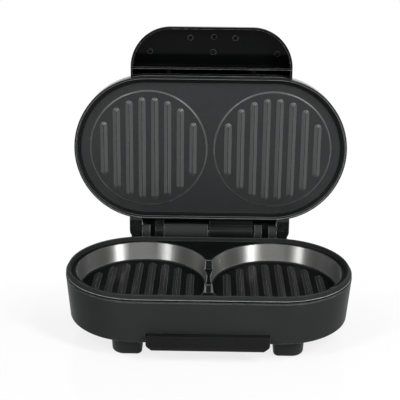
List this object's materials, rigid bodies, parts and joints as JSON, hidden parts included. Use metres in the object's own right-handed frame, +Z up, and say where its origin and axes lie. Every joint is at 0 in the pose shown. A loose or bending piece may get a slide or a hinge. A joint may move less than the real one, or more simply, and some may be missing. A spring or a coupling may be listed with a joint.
{
  "type": "breakfast sandwich maker",
  "caption": "Countertop sandwich maker with twin round ribbed cups in a rounded oblong base, and a hinged lid with a matching plate and a hollow handle, standing open.",
  "frame": {"origin": "on the table, under the middle of the open object’s width and depth", "axes": "+X along the row of cups to the right, +Y to the back where the hinge is, +Z up"},
  "size_m": [0.259, 0.1906, 0.2565],
  "materials": {
    "base_plastic": "satin black moulding with a fine grain",
    "foot_plastic": "plain black moulding",
    "pad_rubber": "matt black rubber",
    "plate_coating": "die-cast aluminium with a dark satin non-stick coating",
    "dome_plastic": "satin grey outer moulding",
    "handle_plastic": "polished black moulding",
    "pin_steel": "ground steel",
    "gland_rubber": "matt black rubber",
    "terminal_plastic": "off-white moulding",
    "thermostat_steel": "pressed plated steel",
    "fuse_body": "drawn aluminium can",
    "lamp_lens": "clear red moulding",
    "neon_glass": "small glass lamp",
    "heater_sheath": "oxidised steel sheath",
    "clamp_steel": "pressed plated strip",
    "shield_aluminium": "thin bright sheet",
    "lead_insulation": "woven glass-fibre sleeve",
    "black_screw_steel": "blackened steel",
    "screw_steel": "zinc-plated steel"
  },
  "bodies": {
    "base": {"base_grip": "base_plastic", "base_housing": "base_plastic", "base_leads": "lead_insulation", "bottom_cover": "base_plastic", "cord_gland": "gland_rubber", "cover_screws": "screw_steel", "feet": "foot_plastic", "foot_pads": "pad_rubber", "foot_screws": "screw_steel", "grip_screws": "screw_steel", "hinge_pins": "pin_steel", "lower_clamp_screws": "screw_steel", "lower_cooking_plate": "plate_coating", "lower_element_clamps": "clamp_steel", "lower_heat_shield": "shield_aluminium", "lower_heating_element": "heater_sheath", "plate_screws": "screw_steel", "terminal_block": "terminal_plastic", "thermal_fuse": "fuse_body", "thermostat": "thermostat_steel", "thermostat_screws": "screw_steel"},
    "lid": {"lid_frame": "base_plastic", "lid_shell": "dome_plastic", "lid_handle": "handle_plastic", "upper_cooking_plate": "plate_coating", "upper_heating_element": "heater_sheath", "upper_element_clamps": "clamp_steel", "upper_clamp_screws": "screw_steel", "upper_heat_shield": "shield_aluminium", "shield_screws": "screw_steel", "upper_plate_screws": "screw_steel", "handle_screws": "screw_steel", "ear_screws": "black_screw_steel", "lid_leads": "lead_insulation", "lamp_lenses": "lamp_lens", "neon_lamps": "neon_glass"}
  },
  "joints": [
    {"name": "lid_hinge", "type": "hinge", "parent": "base", "child": "lid", "pos_m": [0, 0.0565, 0.06], "axis": [1, 0, 0], "range_deg": [0, 94]}
  ]
}
